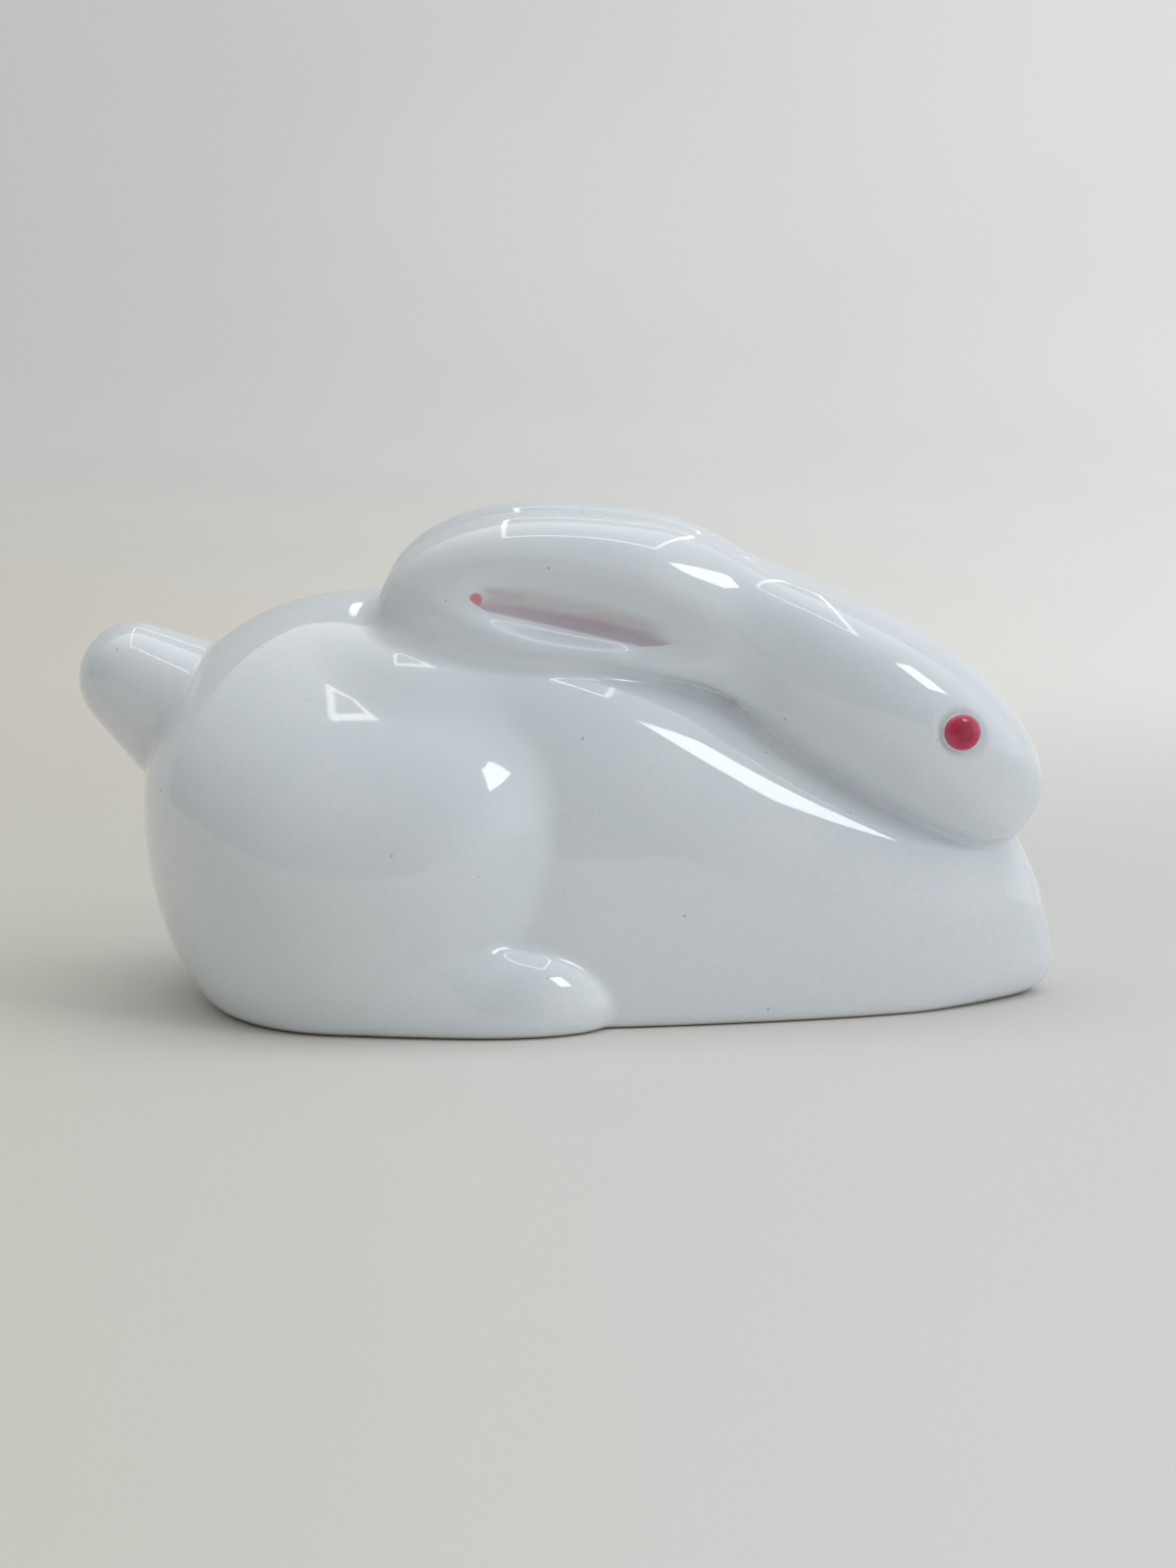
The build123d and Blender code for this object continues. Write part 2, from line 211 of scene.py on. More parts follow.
def foot_form(p, side):
    """Toe end of a hind foot: an ellipsoid half under the haunch."""
    return np.sqrt((((p - FOOT_AT * [1, side, 1]) / FOOT_HALF) ** 2).sum(-1))


def flute_place(p, side):
    """Coordinates along the flute of an ear, out of it and up across it, from its middle."""
    q = p - FLUTE_AT * [1, side, 1]
    along, up = tilted(q, FLUTE_SLOPE)
    return along, side * q[..., 1], up


def flute_form(p, side):
    """Flute of an ear: an ellipsoid in its outer face, leaning so that its lower wall is the steeper."""
    along, out, up = flute_place(p, side)
    out = out + FLUTE_TOE * along
    deep = out * math.cos(FLUTE_LEAN) - up * math.sin(FLUTE_LEAN)
    over = out * math.sin(FLUTE_LEAN) + up * math.cos(FLUTE_LEAN)
    return np.sqrt((along / FLUTE_LONG) ** 2 + (deep / FLUTE_DEEP) ** 2 + (over / FLUTE_HIGH) ** 2 + 1e-12)


def valley_distance(p, side):
    """Distance to the run-out of a flute: a bent rod that leaves its end and dips into the crease below."""
    places = [np.array(place) * [1, side, 1] for place in VALLEY]
    near = FAR
    for a, b in zip(places, places[1:]):
        share = np.clip((p - a) @ (b - a) / ((b - a) @ (b - a)), 0, 1)
        near = np.minimum(near, np.linalg.norm(p - a - share[..., None] * (b - a), axis=-1))
    return near - VALLEY_ROUND


def distance(form, p, *args):
    """Distance to a form, near enough: its value less 1 over the steepness of that value."""
    step = 1e-3
    value = form(p, *args)
    slope = 0
    for axis in np.eye(3) * step:
        slope = slope + (form(p + axis, *args) - value) ** 2
    return (value - 1) * step / np.sqrt(slope + 1e-16)


def ear_distance(p, side):
    """Distance to an ear, with the square of the way past the neck added, so that it fades into the head."""
    return distance(ear_form, p, side) + np.maximum(p[..., 0] - NECK_X, 0) ** 2 / NECK_FADE


def tail_distance(p):
    """Distance to the tail: a ball with a cone on it that flares into the rump."""
    q = p - TAIL_AT
    inward, _ = tilted(q, TAIL_TILT)
    out = np.sqrt(np.maximum((q ** 2).sum(-1) - inward ** 2, 1e-12))
    ball = np.sqrt(out ** 2 + inward ** 2) - TAIL_BALL
    cone = out * math.cos(TAIL_FLARE) - inward * math.sin(TAIL_FLARE) - TAIL_BALL
    behind = out * math.sin(TAIL_FLARE) + inward * math.cos(TAIL_FLARE) < 0
    return np.maximum(np.where(behind, ball, cone), inward - TAIL_LONG)


def eye_place(side):
    """Place of an eye on the cheek and the direction that it faces."""
    return EYE_AT * [1, side, 1], EYE_OUT * [1, side, 1]


def socket_distance(p, side):
    """Distance to the ball that dishes the cheek round the eye, 9.6 mm across and 1.3 mm deep."""
    place, out = eye_place(side)
    return np.linalg.norm(p - place - out * SOCKET_LIFT, axis=-1) - SOCKET_BALL


def joined(a, b, width):
    """The nearer of two distances, with a fillet that wide where they are alike."""
    h = np.maximum(width - np.abs(a - b), 0)
    return np.minimum(a, b) - h * h / (4 * width)


def cut(a, b, width):
    """Distance to a form that another has been cut from, with an edge rounded that wide."""
    return -joined(-a, b, width)


CASTINGS = {
    "hindquarters": lambda p: distance(hind_form, p),
    "forequarters": lambda p: distance(fore_form, p),
    "head": lambda p: distance(head_form, p),
    "tail": tail_distance,
    "left_ear": lambda p: ear_distance(p, 1),
    "right_ear": lambda p: ear_distance(p, -1),
    "left_hind_foot": lambda p: distance(foot_form, p, 1),
    "right_hind_foot": lambda p: distance(foot_form, p, -1),
}


def skin(p, near):
    """Distance to the glazed skin, and to each casting near it.

    The trunk sinks in by the ears. Then come the fillets between the castings, the flutes, valleys and
    sockets that are cut in, and the base with its hollow.
    """
    d = {name: CASTINGS[name](p) for name in near}
    far = np.full(p.shape[:-1], FAR)
    get = lambda name: d.get(name, far)
    x = p[..., 0]
    z = p[..., 2]
    ears = joined(get("left_ear"), get("right_ear"), EAR_TO_EAR)
    by_ear = np.exp(-(np.maximum(ears, 0) / SINK_NEAR) ** 2) * ramp(z, 36, 50)
    if "forequarters" in d:
        wedge = cut(d["forequarters"], -ridge_distance(p), SHOULDER_EDGE)
        d["forequarters"] = wedge + FORE_SINK * by_ear
    if "hindquarters" in d:
        d["hindquarters"] = d["hindquarters"] + HIND_SINK * by_ear
    feet = np.minimum(get("left_hind_foot"), get("right_hind_foot"))
    foot_crease = 1.0 + 6.0 * ramp(-z, -20, -10)
    rump = joined(get("hindquarters"), feet, foot_crease)
    haunch_crease = 1.2 + 1.8 * ramp(z, 11, 20) + 5.0 * ramp(z, 55, 70)
    body = joined(rump, get("forequarters"), haunch_crease)
    crown = joined(ears, get("head"), EAR_TO_HEAD)
    whole = joined(body, crown, CROWN_TO_BODY + (CROWN_TO_CHEST - CROWN_TO_BODY) * ramp(x, 36, 48))
    whole = joined(whole, get("tail"), TAIL_TO_RUMP)
    for name, side in SIDES.items():
        if name + "_ear" in d:
            whole = cut(whole, distance(flute_form, p, side), FLUTE_EDGE)
            whole = cut(whole, valley_distance(p, side), VALLEY_EDGE)
        if "head" in d:
            whole = cut(whole, socket_distance(p, side), SOCKET_EDGE)
    lower = np.minimum(get("hindquarters"), get("forequarters"))
    recess = RECESS * ramp(-lower, 6.0, 7.2)
    return cut(whole, z - recess, BASE_EDGE + CHEST_EDGE * ramp(x, 62, 88)), d


def own_skin(p, name, near):
    """Distance to one piece, and how far past its crease: the skin, sinking under its neighbours there."""
    whole, d = skin(p, near)
    others = np.min([v for k, v in d.items() if k != name], axis=0)
    past = np.maximum(d[name] - others, 0)
    return np.maximum(whole + SINKING * past, d[name] - OVERLAP), past


def slopes(value, p):
    """Unit gradient of a field by small forward steps."""
    step = 2e-3
    here = value(p)
    g = np.stack([value(p + axis) - here for axis in np.eye(3) * step], -1)
    return g / np.maximum(np.linalg.norm(g, axis=-1, keepdims=True), 1e-12)


def found_along(value, start, way, reach):
    """Where a field changes sign along rays: halved again and again, then one straight-line step."""
    low = np.zeros(start.shape[:-1])
    high = np.full(start.shape[:-1], reach)
    for _ in range(13):
        middle = (low + high) / 2
        inside = value(start + way * middle[..., None]) < 0
        low = np.where(inside, middle, low)
        high = np.where(inside, high, middle)
    at_low = value(start + way * low[..., None])
    at_high = value(start + way * high[..., None])
    share = np.clip(at_low / np.where(at_low == at_high, -1, at_low - at_high), 0, 1)
    return start + way * (low + (high - low) * share)[..., None]


def closed_mesh(name, first, rings, last, normals=None):
    """Mesh of rings of points between two end points, in millimetres, faces outward."""
    rows, columns = rings.shape[:2]
    points = np.concatenate([first[None], rings.reshape(-1, 3), last[None]]) / 1000
    ids = 1 + np.arange(rows * columns).reshape(rows, columns)
    across = np.roll(ids, -1, 1)
    quads = np.stack([ids[:-1], ids[1:], across[1:], across[:-1]], -1).reshape(-1, 4)
    start = np.stack([np.zeros(columns, int), ids[0], across[0]], -1)
    end = np.stack([np.full(columns, len(points) - 1), across[-1], ids[-1]], -1)
    mesh = bpy.data.meshes.new(name)
    mesh.from_pydata(points, [], [*quads.tolist(), *start.tolist(), *end.tolist()])
    mesh.polygons.foreach_set("use_smooth", np.ones(len(mesh.polygons), bool))
    mesh.update()
    if normals is not None:
        mesh.normals_split_custom_set_from_vertices(normals.tolist())
    piece = bpy.data.objects.new(name, mesh)
    bpy.context.scene.collection.objects.link(piece)
    return piece


def spread(weight, span, count):
    """Places over a span, as close together as the weights on an even grid along the last axis ask."""
    total = np.cumsum((weight[..., 1:] + weight[..., :-1]) / 2, -1)
    total = np.concatenate([0 * total[..., :1], total], -1)
    grid = np.linspace(0, span, weight.shape[-1])
    rows = [np.interp(np.linspace(0, t[-1], count), t, grid) for t in total.reshape(-1, len(grid))]
    return np.array(rows).reshape(*total.shape[:-1], count)


# Trial grid that shows where a casting has detail, and how far rays look for the skin in millimetres
TRIAL_RINGS, TRIAL_COLUMNS, REACH = 91, 181, 90.0


def casting(name, near, begin, end, rings, columns):
    """One casting: rays fan out from a line inside it, from one end round to the other.

    Ring angles run from 0 to half a turn and column angles once round from the underside. Both lie closer
    together where the skin is near a crease, a flute or a socket, so that grid lines follow these. Each ray
    starts where the cosine of its ring angle puts it between the two ends of the line. Normals are those of
    the whole skin, so that neighbours shade as one, and past a crease those of the piece itself.
    """
    begin, end = np.array(begin, float), np.array(end, float)
    axis = unit(end - begin)
    aside = unit(np.cross((0, 0, 1), axis))
    down = np.cross(aside, axis)
    rings = int(rings * FINE)
    columns = int(columns * FINE)
    value = lambda p: own_skin(p, name, near)[0]

    def rays(t, f):
        """Start and direction of the rays at those ring and column angles."""
        lengthwise = np.cos(t)[..., None]
        outward = np.cos(f)[..., None] * down + np.sin(f)[..., None] * aside
        way = lengthwise * axis + np.sin(t)[..., None] * outward
        return (begin + end) / 2 + lengthwise * (end - begin) / 2, way

    ring_angles = np.linspace(0, np.pi, TRIAL_RINGS)
    column_angles = np.linspace(0, 2 * np.pi, TRIAL_COLUMNS)
    t, f = np.meshgrid(ring_angles, column_angles, indexing="ij")
    rough = found_along(value, *rays(t, f), REACH)
    _, d = skin(rough, near)
    detail = np.abs(d[name] - np.min([v for k, v in d.items() if k != name], axis=0))
    for side in SIDES.values():
        if name == "head":
            from_eye = np.linalg.norm(rough - eye_place(side)[0], axis=-1)
            detail = np.minimum(detail, np.abs(from_eye - SOCKET_RIM) * 1.5)
        if name.endswith("ear"):
            detail = np.minimum(detail, np.abs(distance(flute_form, rough, side)))
    weight = 1 + 4 * np.exp(-(detail / 3.0) ** 2)
    apart = np.subtract.outer(np.arange(TRIAL_RINGS), np.arange(TRIAL_RINGS))
    blur = np.exp(-(apart / 9.0) ** 2)
    weight = blur @ weight / blur.sum(1)[:, None]
    theta = spread(weight.mean(1), np.pi, rings + 2)
    row = theta / np.pi * (TRIAL_RINGS - 1)
    low = np.minimum(row.astype(int), TRIAL_RINGS - 2)
    share = (row - low)[:, None]
    weight = weight[low] * (1 - share) + weight[low + 1] * share
    f = spread(weight, 2 * np.pi, columns + 1)[:, :-1]
    t = np.broadcast_to(theta[:, None], f.shape)
    start, way = rays(t, f)
    points = found_along(value, start, way, REACH)
    _, past = own_skin(points, name, near)
    smooth = slopes(lambda p: skin(p, near)[0], points)
    facing = (smooth * way).sum(-1) > 0.05
    plain = slopes(value, points)
    normals = np.where(((past < 0.4) & facing)[..., None], smooth, plain)
    flat = np.concatenate([normals[0, :1], normals[1:-1].reshape(-1, 3), normals[-1, :1]])
    return closed_mesh("glazed_" + name, points[0, 0], points[1:-1], points[-1, 0], flat)


def eye_frame(side):
    """Origin and three directions of an eye: forward along the cheek, up, and out of it."""
    place, out = eye_place(side)
    ahead = unit(np.cross(out, [0, 0, -side]))
    up = unit(np.cross(out, ahead) * side)
    return place, ahead, up, out


def turned(name, side, radius, height, columns=96):
    """Form turned about the axis of an eye from a profile of radius and height, both in millimetres."""
    place, ahead, up, out = eye_frame(side)
    phi = np.linspace(0, 2 * np.pi, columns, endpoint=False) * -side
    r = np.array(radius)[:, None, None]
    h = np.array(height)[:, None, None]
    round_it = np.cos(phi)[:, None] * ahead + EYE_HIGH * np.sin(phi)[:, None] * up
    points = place + r * round_it + h * out
    return closed_mesh(name, points[0, 0], points[1:-1], points[-1, 0])


def dome(radius, height, edge, count=28):
    """Profile of a dome from its middle to its edge: a quarter of a superellipse with a soft shoulder."""
    angle = np.linspace(0, np.pi / 2, count)
    r = radius * np.sin(angle)
    return r, edge + (height - edge) * np.cos(angle) ** (2 / 2.15)


def eye_bead(name, side):
    """Bead of the eye: a low ring of glaze round the seat of the red cap, running down into the socket."""
    r, h = dome(radius=3.8, height=0.8, edge=-0.85)
    return turned(name, side, np.append(r, 0.0), np.append(h, -1.6))


def eye_cap(name, side):
    """Red cap on the bead: a dome whose edge sinks into the bead."""
    r, h = dome(radius=3.55, height=1.45, edge=0.1)
    return turned(name, side, np.append(r, 0.0), np.append(h, -0.6))


# Pink leaf in a flute: half-sizes, where its rays start and how far they look, and its height on the skin
LINING_LONG, LINING_HIGH = 21.5, 5.6
LINING_FROM, LINING_REACH = 8.0, 30.0
LINING_OVER, RIM_UNDER, LINING_UNDER = 0.05, 0.1, 0.3


def ear_lining(name, side):
    """Pink enamel in a flute: a thin leaf on the skin, its rim sunk below it.

    One parameter runs along the flute and the other across it; the upper leaf stands a hair above the
    skin and the lower leaf lies under it, and both close along the rim.
    """
    rows = int(130 * FINE)
    columns = int(50 * FINE)
    ring = np.linspace(0, 2 * np.pi, 2 * columns, endpoint=False)
    u = np.linspace(-1, 1, rows + 2)[1:-1]
    long, turn = np.meshgrid(u, ring, indexing="ij")
    along = LINING_LONG * long
    across = LINING_HIGH * np.sqrt(1 - long ** 2) * np.cos(turn)
    x = FLUTE_AT[0] + along * math.cos(FLUTE_SLOPE) + across * math.sin(FLUTE_SLOPE)
    z = FLUTE_AT[2] - along * math.sin(FLUTE_SLOPE) + across * math.cos(FLUTE_SLOPE)
    start = np.stack([x, 0 * x + side * LINING_FROM, z], -1)
    way = np.broadcast_to(np.array([0.0, side, 0.0]), start.shape)
    near = [name.replace("_enamel", ""), "hindquarters"]
    value = lambda p: skin(p, near)[0]
    points = found_along(value, start, way, LINING_REACH)
    rim = ramp((1 - long ** 2) * np.sin(turn) ** 2, 0, 0.12)
    upper = np.sin(turn) > 0
    lift = np.where(upper, LINING_OVER * rim - RIM_UNDER * (1 - rim), -LINING_UNDER)
    normals = slopes(value, points)
    points = points + normals * lift[..., None]
    normals = np.where(upper[..., None], normals, -normals)
    if side < 0:
        points, normals = points[:, ::-1], normals[:, ::-1]
    ends = [points[0].mean(0), points[-1].mean(0)]
    flat = np.concatenate([normals[0, :1], normals.reshape(-1, 3), normals[-1, :1]])
    return closed_mesh("pink_" + name, ends[0], points, ends[1], flat)


class Wire:
    """One output of a material's nodes. Arithmetic on it adds Math nodes, and add() adds any other node."""

    def __init__(self, tree, socket=None):
        self.tree, self.socket = tree, socket

    def add(self, kind, settings=None, inputs=None, output=0):
        node = self.tree.nodes.new(kind)
        for key, value in (settings or {}).items():
            setattr(node, key, value)
        for key, value in (inputs or {}).items():
            if isinstance(value, Wire):
                self.tree.links.new(value.socket, node.inputs[key])
            else:
                node.inputs[key].default_value = value
        return Wire(self.tree, node.outputs[output])

    def math(self, operation, a, b):
        return self.add("ShaderNodeMath", {"operation": operation}, {0: a, 1: b})

    def __add__(self, other):
        return self.math("ADD", self, other)

    def __sub__(self, other):
        return self.math("SUBTRACT", self, other)

    def __rsub__(self, other):
        return self.math("SUBTRACT", other, self)

    def __mul__(self, other):
        return self.math("MULTIPLY", self, other)

    def __truediv__(self, other):
        return self.math("DIVIDE", self, other)

    def __pow__(self, other):
        return self.math("POWER", self, other)

    __radd__, __rmul__ = __add__, __mul__

    def between(self, low, high):
        """Smooth step of this value from 0 at low to 1 at high."""
        settings = {"interpolation_type": "SMOOTHSTEP"}
        return self.add("ShaderNodeMapRange", settings, {0: self, 1: low, 2: high})

    def mix(self, a, b):
        """Colour a where this value is 0 and b where it is 1."""
        a = a if isinstance(a, Wire) else (*a, 1.0)
        b = b if isinstance(b, Wire) else (*b, 1.0)
        return self.add("ShaderNodeMix", {"data_type": "RGBA"}, {0: self, 6: a, 7: b}, 2)


def finish(name, constants):
    """New material with the shader's fixed values, a wire to start from, and its shader node."""
    material = bpy.data.materials.new(name)
    material.use_nodes = True
    shader = material.node_tree.nodes["Principled BSDF"]
    for key, value in constants.items():
        shader.inputs[key].default_value = value
    return material, Wire(material.node_tree), shader


def feed(start, shader, **wires):
    """Links wires to the shader's sockets, named with underscores for spaces."""
    for key, wire in wires.items():
        start.tree.links.new(wire.socket, shader.inputs[key.replace("_", " ")])


def noise(start, place, scale, detail=2.0, rough=0.5):
    """Noise on object coordinates, scale in waves per metre."""
    inputs = {"Vector": place, "Scale": scale, "Detail": detail, "Roughness": rough}
    return start.add("ShaderNodeTexNoise", {}, inputs)


def marked(start, name):
    """The number per point that a piece carries under that name."""
    return start.add("ShaderNodeAttribute", {"attribute_name": name}, output=2)


GLOSS = {"IOR": 1.52, "Coat Weight": 1.0, "Coat Roughness": 0.03}


def glaze_skin(start):
    """What all the white glaze shares: object coordinates, a tinted colour with specks, and a ripple."""
    place = start.add("ShaderNodeTexCoord", output=3)
    tint = noise(start, place, 22.0, 3.0).between(0.35, 0.65)
    colour = tint.mix((0.790, 0.840, 0.885), (0.830, 0.868, 0.900))
    fine = noise(start, place, 900.0, 2.0).between(0.40, 0.66)
    colour = (fine * 0.25).mix(colour, (0.740, 0.800, 0.860))
    cell = {"Vector": place, "Scale": 330.0, "Randomness": 1.0}
    speck = start.add("ShaderNodeTexVoronoi", {}, cell)
    chance = start.add("ShaderNodeSeparateColor", {}, {0: start.add("ShaderNodeTexVoronoi", {}, cell, 1)})
    size = chance.between(0.86, 1.0) * 0.075
    mask = (1 - (speck - size).between(0.0, 0.05)) * chance.between(0.855, 0.875)
    colour = (mask * 0.5).mix(colour, (0.270, 0.250, 0.220))
    wave = noise(start, place, 55.0, 1.0) + noise(start, place, 420.0, 1.0) * 0.015
    ripple = start.add("ShaderNodeBump", {}, {"Strength": 1.0, "Distance": 0.00014, "Height": wave})
    return place, colour, ripple


def white_glaze():
    """Clear glossy glaze over white clay: painted paler in the creases, a painted highlight that also lifts
    their shade, dry and warm on the bare foot.
    """
    material, start, shader = finish("white_glaze", GLOSS)
    place, colour, ripple = glaze_skin(start)
    # Painted highlight: the creases are painted paler, standing in for the bright line of their gloss and
    # lifting their shade
    colour = (marked(start, "painted_crease_light") * 0.45).mix(colour, (0.850, 0.900, 0.940))
    height = start.add("ShaderNodeSeparateXYZ", {}, {0: place}, 2)
    bare = 1 - (height + noise(start, place, 300.0) * 0.0006).between(0.0007, 0.0012)
    dust = noise(start, place, 700.0, 4.0, 0.7)
    colour = bare.mix(colour, dust.mix((0.62, 0.56, 0.48), (0.78, 0.72, 0.64)))
    rough = 0.05 + noise(start, place, 160.0).between(0.3, 0.8) * 0.03 + bare * 0.7
    feed(start, shader, Base_Color=colour, Roughness=rough, Normal=ripple)
    return material


def red_enamel():
    """Deep red fired enamel, darker in the middle of the dome and paler where it thins at the rim."""
    gloss = {"IOR": 1.5, "Coat Weight": 0.25, "Coat Roughness": 0.02}
    material, start, shader = finish("red_enamel", gloss)
    place = start.add("ShaderNodeTexCoord", output=3)
    edge = marked(start, "edge")
    cloud = noise(start, place, 420.0, 3.0).between(0.3, 0.7)
    colour = cloud.mix((0.520, 0.020, 0.075), (0.570, 0.028, 0.092))
    colour = (edge + (cloud - 0.5) * 0.1).between(0.40, 0.62).mix((0.400, 0.010, 0.046), colour)
    colour = edge.between(0.70, 1.0).mix(colour, (0.560, 0.095, 0.150))
    wave = noise(start, place, 260.0, 1.0)
    ripple = start.add("ShaderNodeBump", {}, {"Strength": 1.0, "Distance": 0.00003, "Height": wave})
    feed(start, shader, Base_Color=colour, Roughness=0.06 + cloud * 0.06, Normal=ripple)
    return material


def eye_glaze():
    """White glaze of the bead, stained red where the cap's enamel has run."""
    material, start, shader = finish("eye_glaze", GLOSS)
    place, colour, ripple = glaze_skin(start)
    stain = 1 - (marked(start, "edge") + noise(start, place, 900.0) * 0.12).between(0.80, 1.02)
    colour = (stain * 0.8).mix(colour, (0.720, 0.390, 0.410))
    feed(start, shader, Base_Color=colour, Roughness=0.08 + stain * 0.04, Normal=ripple)
    return material


def pink_enamel():
    """Pink enamel sprayed in the flute: strong along its floor, fading into the glaze towards the rim."""
    material, start, shader = finish("pink_enamel", GLOSS)
    place, colour, ripple = glaze_skin(start)
    blush, stripe, drop = (marked(start, name) for name in ("blush", "stripe", "drop"))
    grain = noise(start, place, 700.0, 3.0) - 0.5
    streak = start.add("ShaderNodeMapping", {}, {"Vector": place, "Scale": (60.0, 300.0, 420.0)})
    brushed = noise(start, streak, 1.0, 2.0) - 0.5
    colour = (blush * (0.75 + brushed * 1.2)).mix(colour, (0.605, 0.545, 0.575))
    colour = (stripe * (0.85 + grain * 0.5 + brushed * 0.4)).mix(colour, (0.565, 0.455, 0.530))
    colour = drop.mix(colour, (0.720, 0.270, 0.290))
    feed(start, shader, Base_Color=colour, Roughness=0.08 + stripe * 0.04, Normal=ripple)
    return material


def mark(piece, name, value):
    """Stores one number per point on a piece, for its material."""
    layer = piece.data.attributes.new(name, "FLOAT", "POINT")
    layer.data.foreach_set("value", value.astype(np.float32))


def place_piece(piece, node, material):
    """Dresses a piece, hides the node that it stands for and lets it ride with the figurine."""
    piece.data.materials.append(material)
    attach(piece, "root")
    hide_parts(node)


def points_of(piece):
    """Points of a piece in millimetres."""
    flat = np.empty(len(piece.data.vertices) * 3)
    piece.data.vertices.foreach_get("co", flat)
    return flat.reshape(-1, 3) * 1000


EARS = ["left_ear", "right_ear"]
FEET = ["left_hind_foot", "right_hind_foot"]
BODY = ["hindquarters", "forequarters"]


def plans():
    """For each casting the castings near it, the line that its rays leave, and the size of its grid."""
    found = {
        "hindquarters": dict(near=BODY + EARS + FEET + ["tail"], begin=(-38, 0, 34), end=(-34, 0, 34),
                             rings=230, columns=330),
        "forequarters": dict(near=BODY + EARS + FEET + ["head"], begin=(-12, 0, 26), end=(70, 0, 10),
                             rings=240, columns=330),
        "head": dict(near=["head", "forequarters"] + EARS, begin=(44, 0, 60.8), end=(76, 0, 41.5),
                     rings=220, columns=320),
        "tail": dict(near=["tail", "hindquarters"], begin=(-66, 0, 50.5), end=TAIL_AT,
                     rings=150, columns=200),
    }
    for ear, side in zip(EARS, SIDES.values()):
        found[ear] = dict(near=BODY + EARS + ["head"], begin=(24, side * 9, 66), end=(-18, side * 11, 70),
                          rings=240, columns=300)
    for foot, side in zip(FEET, SIDES.values()):
        found[foot] = dict(near=BODY + [foot], begin=(-28, side * 28, 4), end=(0, side * 28, 4),
                           rings=110, columns=150)
    return found


def mark_painted_crease_light(piece, near):
    """Marks the creases for the painted highlight in them: how far the skin stands over the nearest casting.

    The ears and the head count as one, and the foot has none.
    """
    at = points_of(piece)
    whole, d = skin(at, near)
    far = np.full(len(at), FAR)
    ears = np.minimum(*(d.get(ear, far) for ear in EARS))
    crown = joined(ears, d.get("head", far), EAR_TO_HEAD)
    nearest = np.min([crown] + [v for k, v in d.items() if k not in EARS + ["head"]], axis=0)
    # Mask for the painted highlight in the creases
    mark(piece, "painted_crease_light", np.clip((nearest - whole) / 0.4, 0, 1) * (at[:, 2] > 3))


def mark_edge(piece, side):
    """Marks a form turned on an eye with the share of its radius, 1 at its edge."""
    place, out = eye_place(side)
    away = points_of(piece) - place
    aside = np.linalg.norm(away - (away @ out)[:, None] * out, axis=1)
    mark(piece, "edge", aside / aside.max())


def mark_paint(lining, side):
    """Marks the paint in a flute: a stripe along its floor, a blush over that and a drop at the tip."""
    along, _, up = flute_place(points_of(lining), side)
    floor = -2.9 - 0.03 * along
    low = ramp(up, floor - 1.3, floor - 0.7)
    stripe_top = floor - 0.0045 * (along - 2) ** 2
    high = 1 - ramp(up, stripe_top + 0.9, stripe_top + 2.6)
    stripe_ends = ramp(along, -19.0, -17.5) * (1 - ramp(along, 17.6, 19.2))
    mark(lining, "stripe", low * high * stripe_ends)
    blush_high = 1 - ramp(up, floor + 2.5, floor + 6.0 - 0.008 * along ** 2)
    blush_ends = ramp(along, -19.0, -15.0) * (1 - ramp(along, 12.0, 18.0))
    mark(lining, "blush", low * blush_high * blush_ends)
    mark(lining, "drop", ramp(1.35 - np.hypot(along + 18.2, up - floor - 0.6), 0, 0.4))


glaze = white_glaze()
bead_glaze = eye_glaze()
red = red_enamel()
pink = pink_enamel()

for name, plan in plans().items():
    piece = casting(name, **plan)
    mark_painted_crease_light(piece, plan["near"])
    place_piece(piece, name, glaze)

for name, side in SIDES.items():
    bead = eye_bead("bead_of_" + name + "_eye", side)
    mark_edge(bead, side)
    place_piece(bead, name + "_eye", bead_glaze)
    cap = eye_cap("red_" + name + "_eye_enamel", side)
    mark_edge(cap, side)
    place_piece(cap, name + "_eye_enamel", red)
    lining = ear_lining(name + "_ear_enamel", side)
    mark_paint(lining, side)
    place_piece(lining, name + "_ear_enamel", pink)


# The studio, in metres and watts
PAPER_WITH_PAINTED_SIDE_LIGHT = (0.755, 0.725, 0.650), (0.830, 0.822, 0.812)  # painted light: warm and darker on the left, paler on the right where the light is stronger
# Painted light: the glow that camera and glossy rays see on the far table and wall, darker to the left
TABLE_PAINTED_GLOW = (0.545, 0.520, 0.455), (0.800, 0.795, 0.785)
WALL_PAINTED_GLOW = (0.500, 0.505, 0.485), (0.765, 0.768, 0.762)
FLOOR_FRONT, BEND_AT, BEND, WALL_TOP, PAPER_HALF = -4.0, 1.2, 0.8, 5.0, 5.0
TUBES_HIGH = 1.5
CAMERA_AT, CAMERA_AIM = Vector((0.0039, -0.6401, 0.1521)), Vector((0.0039, 0.0, 0.0392))


def lamp(name, place, aim, size, power, colour):
    """Soft rectangular lamp at a place, facing a point, with its width and height."""
    light = bpy.data.lights.new(name, "AREA")
    light.shape = "RECTANGLE"
    light.size, light.size_y = size
    light.energy = power
    light.color = colour
    thing = bpy.data.objects.new(name, light)
    thing.location = place
    thing.rotation_euler = (Vector(aim) - Vector(place)).to_track_quat("-Z", "Y").to_euler()
    bpy.context.scene.collection.objects.link(thing)


def outputs_of(wire):
    """Every output of the node that a wire leaves, by name."""
    return {socket.name: Wire(wire.tree, socket) for socket in wire.socket.node.outputs}


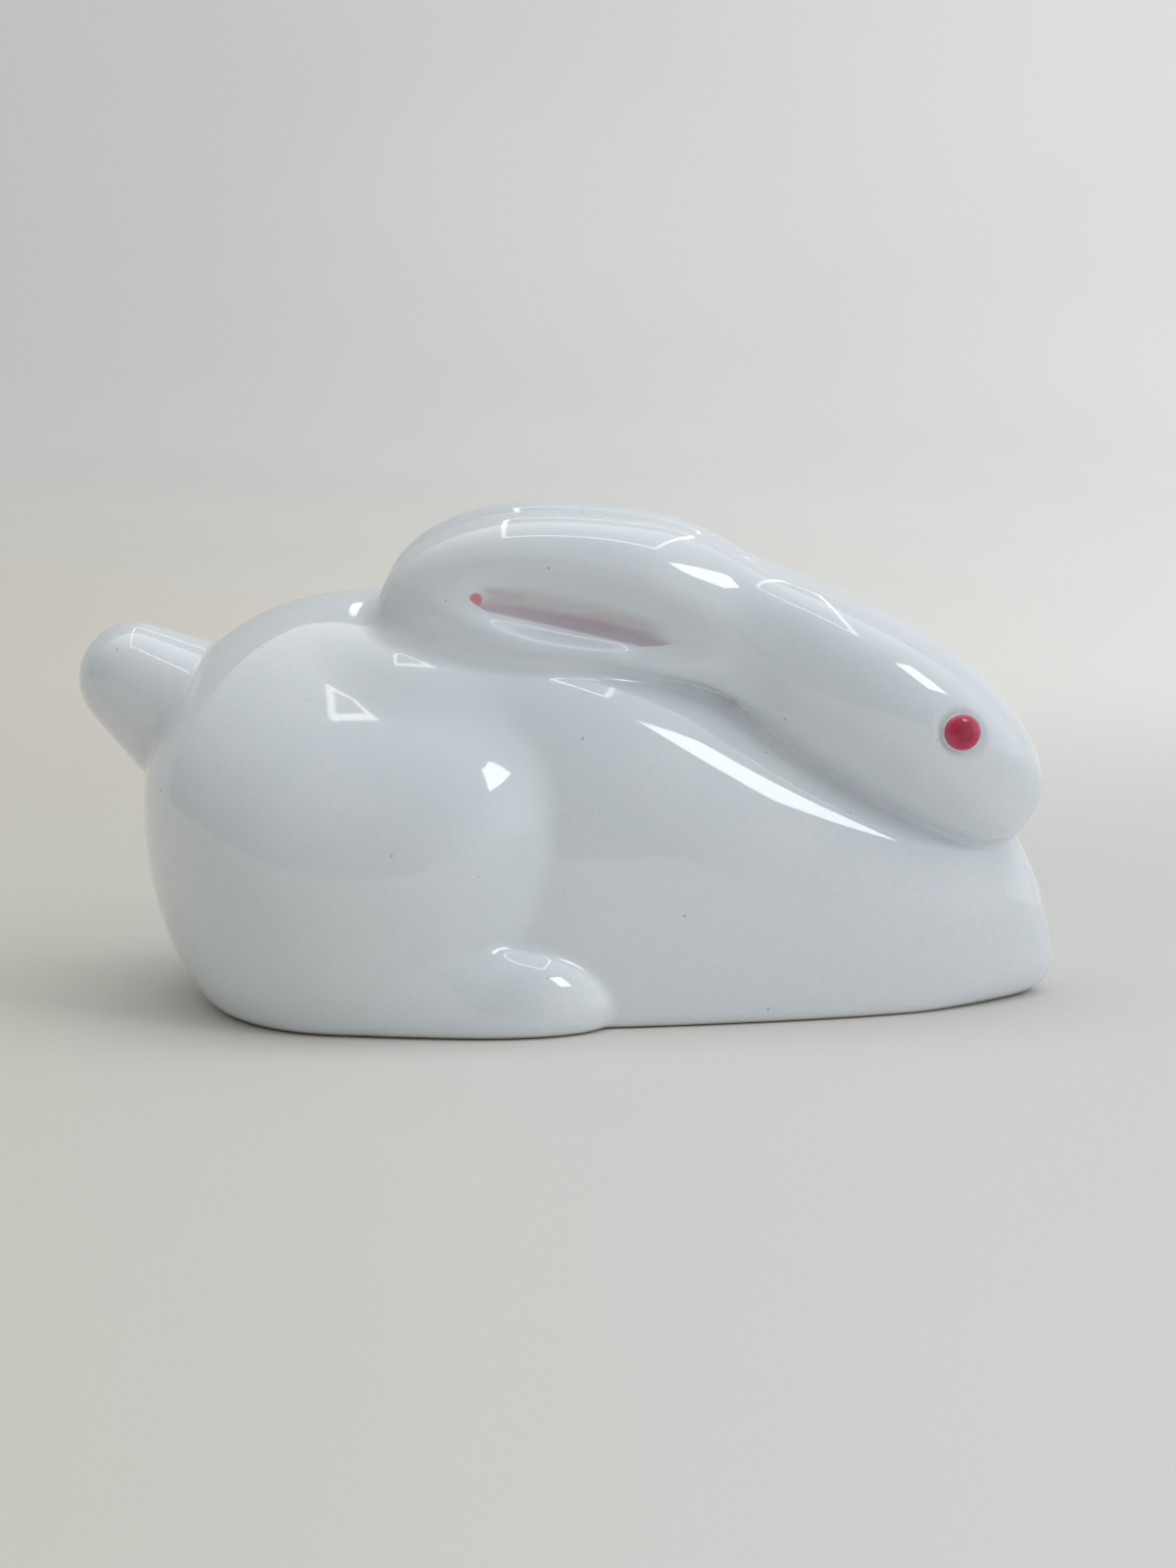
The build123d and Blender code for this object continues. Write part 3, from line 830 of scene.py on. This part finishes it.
def paper_finish(name):
    """Matt paper with faint fibres. Its colour holds painted light: warmer and darker to the left, paler to
    the right. Far off, camera and glossy rays see an emission instead, painted light that is darker to the
    left and a little darker up the wall.
    """
    material, start, shader = finish(name, {"Roughness": 0.7, "Specular IOR Level": 0.15})
    place = start.add("ShaderNodeTexCoord", output=3)
    cloud = noise(start, place, 3.0, 3.0).between(0.3, 0.7)
    axes = outputs_of(start.add("ShaderNodeSeparateXYZ", {}, {0: place}))
    slant = axes["X"] / start.math("MAXIMUM", axes["Y"] + 0.64, 0.3)
    aside = (slant + (cloud - 0.5) * 0.03).between(-0.30, 0.30)
    fibre = noise(start, place, 1100.0, 3.0, 0.6).between(0.35, 0.75)
    # Painted light: the paper is warmer and darker to the left and paler to the right
    colour = (fibre * 0.10 + (1 - cloud) * 0.06).mix(aside.mix(*PAPER_WITH_PAINTED_SIDE_LIGHT), (0.60, 0.59, 0.56))
    feed(start, shader, Base_Color=colour)
    rays = outputs_of(start.add("ShaderNodeLightPath"))
    seen = start.math("MAXIMUM", rays["Is Camera Ray"], rays["Is Glossy Ray"])
    # Painted light: far off, the paper shows camera and glossy rays a glow in place of lit paper
    glow = axes["Y"].between(0.3, 1.2).mix(aside.mix(*TABLE_PAINTED_GLOW), aside.mix(*WALL_PAINTED_GLOW))
    far = start.add("ShaderNodeEmission", {}, {"Color": glow, "Strength": 1.0})
    near = Wire(start.tree, shader.outputs[0])
    share = seen * axes["Y"].between(0.04, 0.45)
    both = start.add("ShaderNodeMixShader", {}, {0: share, 1: near, 2: far})
    start.tree.links.new(both.socket, start.tree.nodes["Material Output"].inputs[0])
    return material


def sweep(name):
    """Seamless paper: a level floor that turns up into a wall through a quarter of a circle."""
    turn = np.linspace(0, np.pi / 2, 24)
    y = np.concatenate([[FLOOR_FRONT], BEND_AT + BEND * np.sin(turn), [BEND_AT + BEND]])
    z = np.concatenate([[0.0], BEND - BEND * np.cos(turn), [WALL_TOP]])
    count = len(y)
    edges = [np.stack([np.full(count, x), y, z], -1) for x in (-PAPER_HALF, PAPER_HALF)]
    row = np.arange(count - 1)
    faces = np.stack([row, row + count, row + count + 1, row + 1], -1)
    mesh = bpy.data.meshes.new(name)
    mesh.from_pydata(np.concatenate(edges), [], faces.tolist())
    mesh.polygons.foreach_set("use_smooth", np.ones(len(mesh.polygons), bool))
    mesh.materials.append(paper_finish(name))
    thing = bpy.data.objects.new(name, mesh)
    bpy.context.scene.collection.objects.link(thing)


def room():
    """World light: dim all round, brighter high up at the back and towards the right."""
    world = bpy.data.worlds.new("room")
    world.use_nodes = True
    sky = Wire(world.node_tree)
    way = outputs_of(sky.add("ShaderNodeSeparateXYZ", {}, {0: sky.add("ShaderNodeTexCoord")}))
    above = sky.math("MAXIMUM", way["Z"] * 0.88 + way["Y"] * 0.475, 0.0) ** 3
    glow = 0.25 + 1.68 * above + 0.95 * sky.math("MAXIMUM", way["X"], 0.0) ** 2
    background = world.node_tree.nodes["Background"]
    background.inputs["Color"].default_value = (0.95, 0.98, 1.0, 1)
    world.node_tree.links.new(glow.socket, background.inputs["Strength"])
    bpy.context.scene.world = world


def photo_camera():
    """Camera at the photograph's viewing angle."""
    camera = bpy.data.objects.new("camera", bpy.data.cameras.new("camera"))
    camera.data.lens, camera.data.sensor_width = 80.35, 36.0
    camera.data.clip_start, camera.data.clip_end = 0.05, 20.0
    camera.location = CAMERA_AT
    camera.rotation_euler = (CAMERA_AIM - CAMERA_AT).to_track_quat("-Z", "Y").to_euler()
    bpy.context.scene.collection.objects.link(camera)
    bpy.context.scene.camera = camera


sweep("paper")
lamp("window_light", (0.92, -0.61, 0.985), (0, 0, 0.05), (0.28, 0.35), 1.6, (0.90, 0.96, 1.0))
for name, x, y, size, power in (("front_tube", 0.26, -0.45, (0.98, 0.05), 0.5),
                                ("back_tube", 0.26, 1.25, (0.98, 0.05), 0.5),
                                ("left_tube", -0.23, 0.40, (0.035, 1.70), 0.55),
                                ("right_tube", 0.75, 0.40, (0.035, 1.70), 0.55)):
    lamp(name, (x, y, TUBES_HIGH), (x, y + 1e-4, 0), size, power, (1.0, 0.99, 0.97))
room()
photo_camera()
bpy.context.scene.view_settings.view_transform = "Standard"
